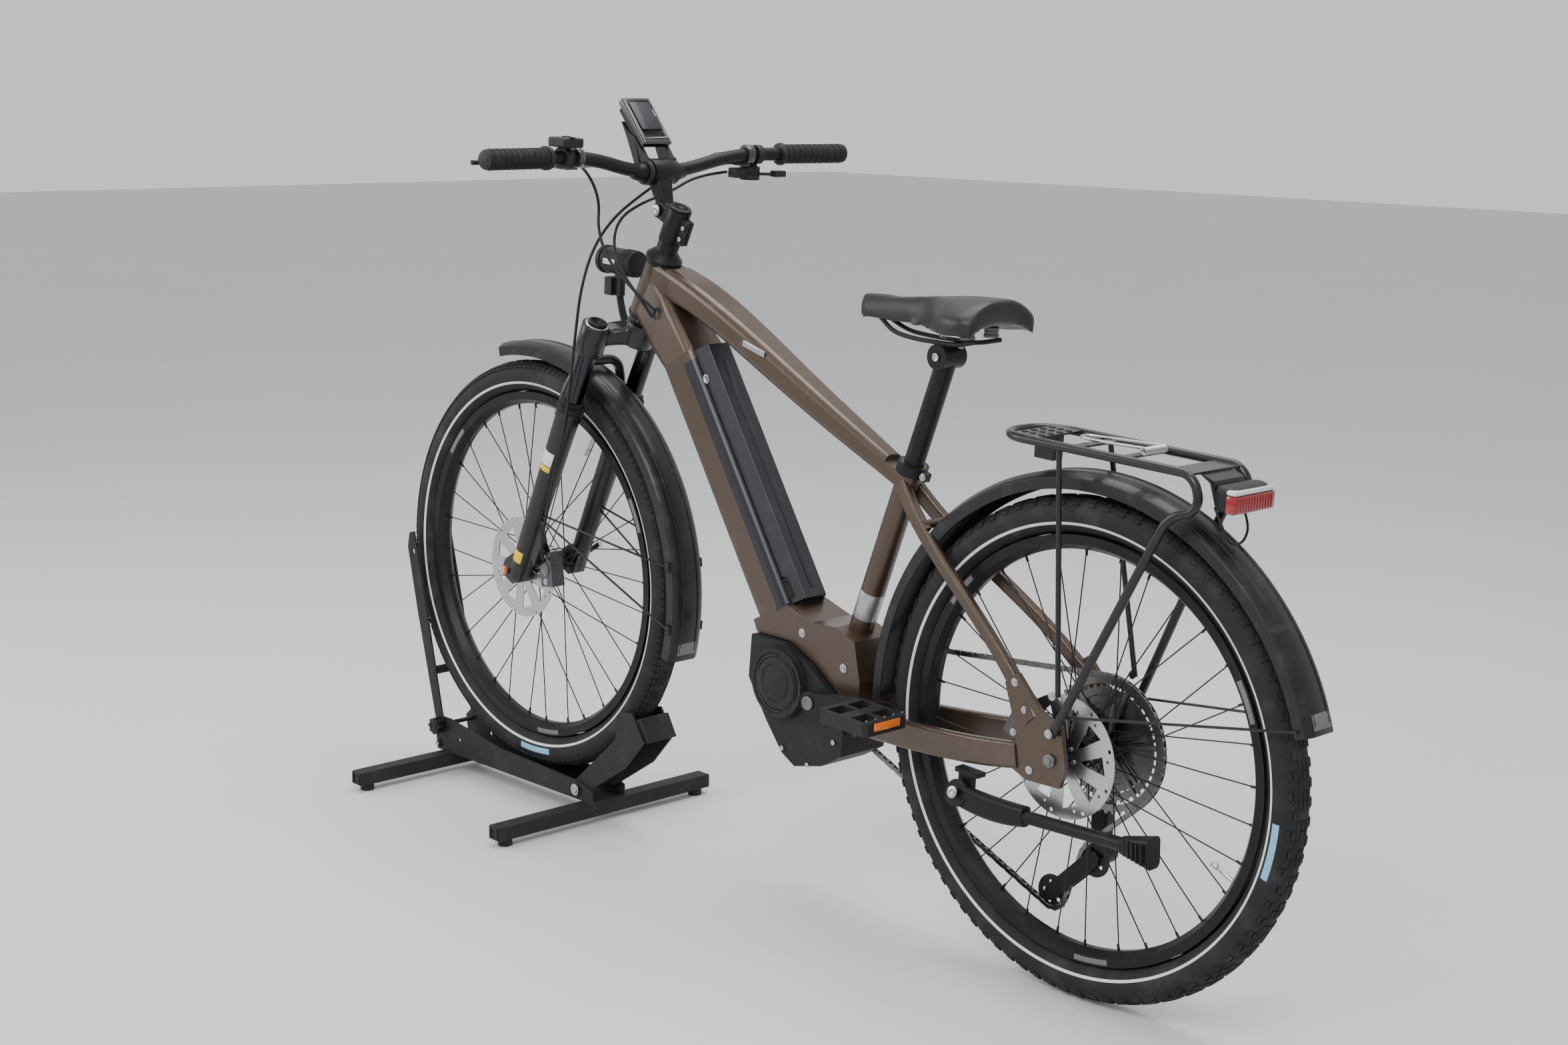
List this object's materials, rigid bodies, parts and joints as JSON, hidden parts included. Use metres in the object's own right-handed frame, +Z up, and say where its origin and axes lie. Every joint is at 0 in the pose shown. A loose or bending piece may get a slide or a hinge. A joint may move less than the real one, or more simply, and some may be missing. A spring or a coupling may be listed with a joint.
{
  "type": "electric bicycle on a front-wheel floor stand",
  "caption": "Electric trekking bicycle with mid motor, fenders and carrier, its front wheel held in a folding floor stand",
  "frame": {"origin": "on the floor below the middle of the whole, length and width halved", "axes": "+X to the front of the bicycle, +Y to the rider's left, +Z up"},
  "size_m": [2.0116, 0.7758, 1.2659],
  "materials": {
    "stand_black": "matte powder coat",
    "black_plastic": "satin black",
    "fork_black": "satin black paint",
    "fork_tube": "dark anodised, polished",
    "bright_metal": "satin steel",
    "rotor_steel": "brushed",
    "fender_black": "satin black",
    "caliper_grey": "gloss dark grey",
    "black_anodised": "satin black anodised",
    "rubber_black": "matt",
    "screen_gloss": "gloss black",
    "frame_paint": "metallic bronze, satin",
    "battery_dark": "satin anthracite",
    "motor_black": "matt black",
    "saddle_skin": "smooth black cover",
    "chain_steel": "satin nickel",
    "carrier_black": "satin black powder coat",
    "tyre_rubber": "matt, knobbed",
    "rim_black": "satin black"
  },
  "bodies": {
    "stand": {"stand_crossbars": "stand_black", "stand_feet": "black_plastic", "stand_channel": "stand_black"},
    "stand_cradle_arm": {"stand_cradle": "stand_black"},
    "stand_hoop_arm": {"stand_hoop": "stand_black"},
    "stand_clamp_knob": {"stand_knob": "black_plastic"},
    "fork_slider": {"fork_lowers": "fork_black", "front_axle": "bright_metal", "front_fender": "fender_black", "front_caliper": "caliper_grey"},
    "front_wheel": {"front_tyre": "tyre_rubber", "front_rim": "rim_black", "front_spokes": "bright_metal", "front_hub": "black_anodised", "front_rotor": "rotor_steel"},
    "fork_upper": {"fork_crown": "fork_black", "fork_stanchions": "fork_tube", "stem_base": "black_anodised", "headlamp": "black_plastic", "hose_front": "rubber_black"},
    "handlebar_set": {"stem_arm": "black_anodised", "handlebar": "black_anodised", "grips": "rubber_black", "display_mount": "black_plastic", "display": "screen_gloss", "remote": "black_plastic", "brake_bodies": "caliper_grey", "shifter_body": "black_plastic"},
    "brake_lever_left_body": {"brake_lever_left": "black_anodised"},
    "brake_lever_right_body": {"brake_lever_right": "black_anodised"},
    "shift_lever_body": {"shift_lever": "black_plastic"},
    "remote_button_body": {"remote_button": "rubber_black"},
    "bike_frame": {"frame": "frame_paint", "battery": "battery_dark", "motor": "motor_black", "seat_clamp": "black_anodised", "chain": "chain_steel", "derailleur": "black_anodised", "rear_fender": "fender_black", "carrier": "carrier_black", "tail_light": "black_plastic", "rear_caliper": "caliper_grey", "kickstand_mount": "black_anodised", "cables_rear": "rubber_black"},
    "seat_set": {"seatpost": "black_anodised", "saddle": "saddle_skin"},
    "rear_wheel": {"rear_tyre": "tyre_rubber", "rear_rim": "rim_black", "rear_spokes": "bright_metal", "rear_hub": "black_anodised", "rear_rotor": "rotor_steel"},
    "crank_set": {"cranks": "black_anodised", "chainring": "chain_steel"},
    "cassette_body": {"cassette": "chain_steel"},
    "guide_pulley_body": {"guide_pulley": "black_plastic"},
    "tension_pulley_body": {"tension_pulley": "black_plastic"},
    "pedal_left_body": {"pedal_left": "black_plastic"},
    "pedal_right_body": {"pedal_right": "black_plastic"},
    "kickstand_body": {"kickstand_leg": "black_anodised"},
    "carrier_clip_body": {"carrier_clip": "bright_metal"}
  },
  "joints": [
    {"name": "cradle_tilt", "type": "hinge", "parent": "stand", "child": "stand_cradle_arm", "pos_m": [0.48985, 0, 0.056], "axis": [0, -1, 0], "range_deg": [0, 25]},
    {"name": "hoop_swing", "type": "hinge", "parent": "stand", "child": "stand_hoop_arm", "pos_m": [0.89685, 0, 0.087], "axis": [0, 1, 0], "range_deg": [0, 60]},
    {"name": "clamp_knob_turn", "type": "hinge", "parent": "stand", "child": "stand_clamp_knob", "pos_m": [0.89685, 0, 0.087], "axis": [0, 1, 0], "continuous": true},
    {"name": "bike_lift", "type": "slide", "parent": "stand", "child": "fork_slider", "axis": [0, 0, 1], "range_m": [0, 0.15]},
    {"name": "front_wheel_spin", "type": "hinge", "parent": "fork_slider", "child": "front_wheel", "pos_m": [0.63585, 0, 0.4363], "axis": [0, 1, 0], "continuous": true},
    {"name": "fork_travel", "type": "slide", "parent": "fork_slider", "child": "fork_upper", "axis": [0.4309, 0, -0.9024], "range_m": [0, 0.055], "stiffness_N_per_m": 9000, "springref_m": -0.06, "deforming": ["hose_front"]},
    {"name": "stem_tilt", "type": "hinge", "parent": "fork_upper", "child": "handlebar_set", "pos_m": [0.301, 0, 1.08647], "axis": [0, -1, 0], "range_deg": [0, 25], "deforming": ["hose_front", "cables_rear"]},
    {"name": "brake_lever_left_squeeze", "type": "hinge", "parent": "handlebar_set", "child": "brake_lever_left_body", "pos_m": [0.3436, 0.192, 1.16579], "axis": [-0.0528, 0, 0.9986], "range_deg": [0, 14], "stiffness_Nm_per_rad": 0.9, "springref_deg": -20.05},
    {"name": "brake_lever_right_squeeze", "type": "hinge", "parent": "handlebar_set", "child": "brake_lever_right_body", "pos_m": [0.3436, -0.192, 1.16579], "axis": [0.0528, 0, -0.9986], "range_deg": [0, 14], "stiffness_Nm_per_rad": 0.9, "springref_deg": -20.05},
    {"name": "shift_lever_push", "type": "hinge", "parent": "handlebar_set", "child": "shift_lever_body", "pos_m": [0.32011, -0.206, 1.17474], "axis": [0.0528, 0, -0.9986], "range_deg": [0, 20], "stiffness_Nm_per_rad": 0.5, "springref_deg": -17.19},
    {"name": "remote_button_press", "type": "slide", "parent": "handlebar_set", "child": "remote_button_body", "axis": [0.0528, 0, -0.9986], "range_m": [0, 0.0015], "stiffness_N_per_m": 600, "springref_m": -0.002},
    {"name": "steering", "type": "hinge", "parent": "fork_upper", "child": "bike_frame", "pos_m": [0.58893, 0, 0.41389], "axis": [-0.4309, 0, 0.9024], "range_deg": [-45, 45], "deforming": ["cables_rear"]},
    {"name": "seat_height", "type": "slide", "parent": "bike_frame", "child": "seat_set", "axis": [-0.3506, 0, 0.9365], "range_m": [-0.06, 0.02]},
    {"name": "rear_wheel_spin", "type": "hinge", "parent": "bike_frame", "child": "rear_wheel", "pos_m": [-0.6184, 0, 0.37], "axis": [0, 1, 0], "continuous": true},
    {"name": "crank_turn", "type": "hinge", "parent": "bike_frame", "child": "crank_set", "pos_m": [-0.13685, 0, 0.3534], "axis": [0, 1, 0], "continuous": true},
    {"name": "cassette_turn", "type": "hinge", "parent": "bike_frame", "child": "cassette_body", "pos_m": [-0.6184, 0, 0.37], "axis": [0, 1, 0], "continuous": true},
    {"name": "guide_pulley_turn", "type": "hinge", "parent": "bike_frame", "child": "guide_pulley_body", "pos_m": [-0.60501, 0, 0.19246], "axis": [0, 1, 0], "continuous": true},
    {"name": "tension_pulley_turn", "type": "hinge", "parent": "bike_frame", "child": "tension_pulley_body", "pos_m": [-0.5292, 0, 0.12236], "axis": [0, 1, 0], "continuous": true},
    {"name": "pedal_left_turn", "type": "hinge", "parent": "crank_set", "child": "pedal_left_body", "pos_m": [-0.30731, 0, 0.37637], "axis": [0, 1, 0], "continuous": true},
    {"name": "pedal_right_turn", "type": "hinge", "parent": "crank_set", "child": "pedal_right_body", "pos_m": [0.03361, 0, 0.33043], "axis": [0, 1, 0], "continuous": true},
    {"name": "kickstand_swing", "type": "hinge", "parent": "bike_frame", "child": "kickstand_body", "pos_m": [-0.45356, 0.08, 0.28258], "axis": [0.0154, -0.9563, -0.292], "range_deg": [0, 105]},
    {"name": "carrier_clip_lift", "type": "hinge", "parent": "bike_frame", "child": "carrier_clip_body", "pos_m": [-0.712, 0, 0.81468], "axis": [0, -1, 0], "range_deg": [0, 70], "stiffness_Nm_per_rad": 0.25, "springref_deg": -17.19}
  ],
  "couplings": [
    {"joint": "cassette_turn", "follows": "crank_turn", "ratio": 0.8002},
    {"joint": "guide_pulley_turn", "follows": "crank_turn", "ratio": -3.3292},
    {"joint": "tension_pulley_turn", "follows": "crank_turn", "ratio": 3.3292}
  ]
}
